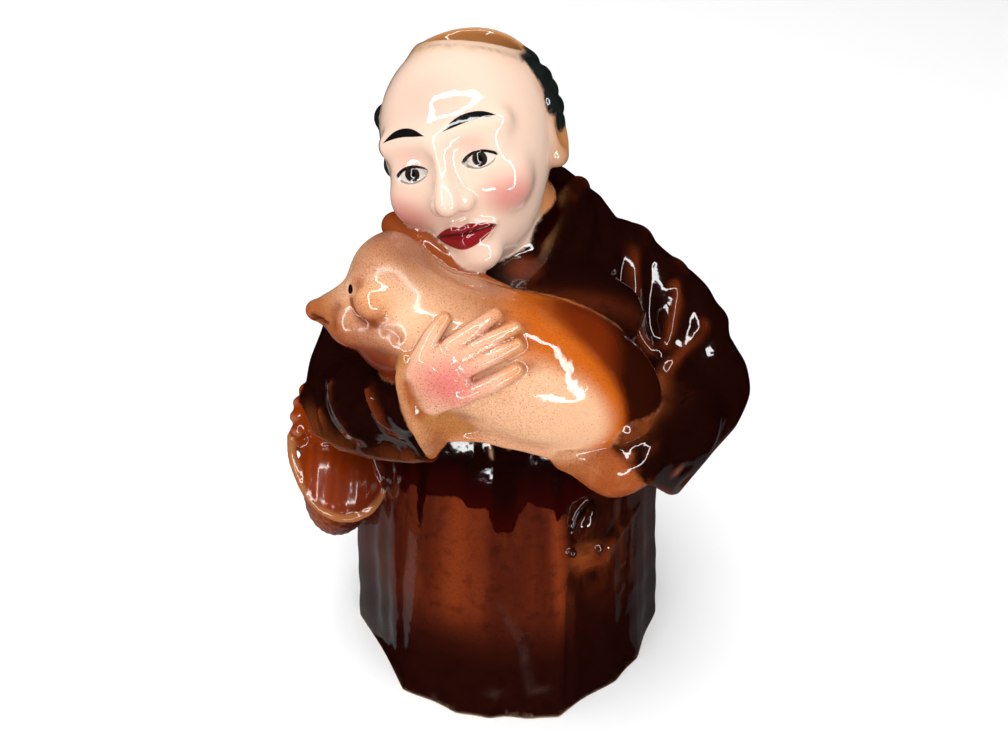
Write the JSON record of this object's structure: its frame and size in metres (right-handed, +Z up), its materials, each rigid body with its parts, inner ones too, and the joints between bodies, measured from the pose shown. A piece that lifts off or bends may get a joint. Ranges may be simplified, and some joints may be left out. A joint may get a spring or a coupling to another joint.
{
  "type": "figural creamer",
  "caption": "Hollow glazed creamer shaped as a half-length friar in a hooded habit who holds a piglet, with a pouring mouth in the crown of the head and a loop handle at the back.",
  "frame": {"origin": "centre of the flat underside, in its plane", "axes": "+Z up, out of the crown of the head; the figure faces -Y; +X is to the figure's left"},
  "size_m": [0.0924, 0.1015, 0.1355],
  "materials": {
    "glaze": "glossy, airbrushed"
  },
  "bodies": {
    "root": {"creamer": "glaze"}
  },
  "joints": []
}
